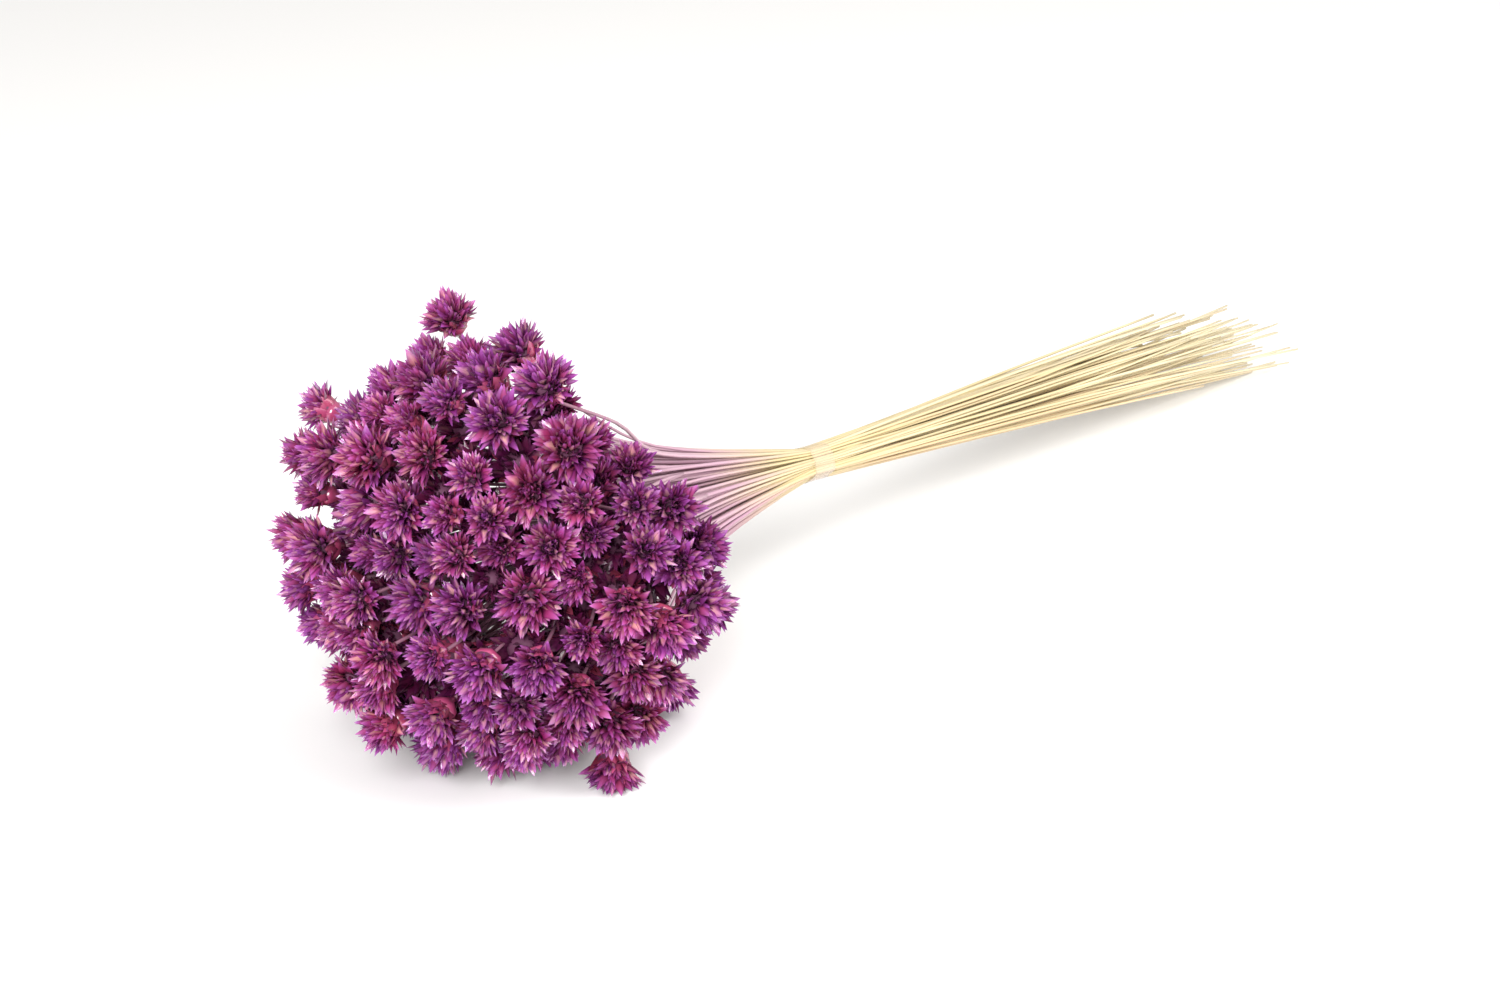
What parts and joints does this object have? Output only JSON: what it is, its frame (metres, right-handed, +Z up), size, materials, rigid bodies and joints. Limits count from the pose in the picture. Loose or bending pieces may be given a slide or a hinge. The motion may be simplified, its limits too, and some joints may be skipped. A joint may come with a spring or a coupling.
{
  "type": "dried hill flower bunch",
  "caption": "Laid-down bunch of dyed dried flowers: bristly round heads crowded into a ball on thin straw stems, tied by a clear band.",
  "frame": {"origin": "middle of the footprint, on the surface that the bunch lies on", "axes": "+X along the bunch from the heads to the cut stem ends, +Y to its side, +Z up"},
  "size_m": [0.44, 0.1406, 0.1279],
  "materials": {
    "dyed_magenta": "satin",
    "dyed_violet": "satin",
    "dyed_rose": "satin",
    "straw": "satin",
    "clear_tape": "glossy"
  },
  "bodies": {
    "root": {"tie_band": "clear_tape", "heads_01": "dyed_magenta", "stems_01": "straw", "heads_02": "dyed_violet", "stems_02": "straw", "heads_03": "dyed_rose", "stems_03": "straw", "heads_04": "dyed_magenta", "stems_04": "straw", "heads_05": "dyed_violet", "stems_05": "straw", "heads_06": "dyed_rose", "stems_06": "straw", "heads_07": "dyed_magenta", "stems_07": "straw", "heads_08": "dyed_violet", "stems_08": "straw", "heads_09": "dyed_rose", "stems_09": "straw", "heads_10": "dyed_magenta", "stems_10": "straw", "heads_11": "dyed_violet", "stems_11": "straw", "heads_12": "dyed_rose", "stems_12": "straw", "heads_13": "dyed_magenta", "stems_13": "straw", "heads_14": "dyed_violet", "stems_14": "straw", "heads_15": "dyed_rose", "stems_15": "straw", "heads_16": "dyed_magenta", "stems_16": "straw", "heads_17": "dyed_violet", "stems_17": "straw", "heads_18": "dyed_rose", "stems_18": "straw", "heads_19": "dyed_magenta", "stems_19": "straw", "heads_20": "dyed_violet", "stems_20": "straw", "heads_21": "dyed_rose", "stems_21": "straw", "heads_22": "dyed_magenta", "stems_22": "straw", "heads_23": "dyed_violet", "stems_23": "straw", "heads_24": "dyed_rose", "stems_24": "straw", "heads_25": "dyed_magenta", "stems_25": "straw", "heads_26": "dyed_violet", "stems_26": "straw", "heads_27": "dyed_rose", "stems_27": "straw", "heads_28": "dyed_magenta", "stems_28": "straw", "heads_29": "dyed_violet", "stems_29": "straw"}
  },
  "joints": []
}
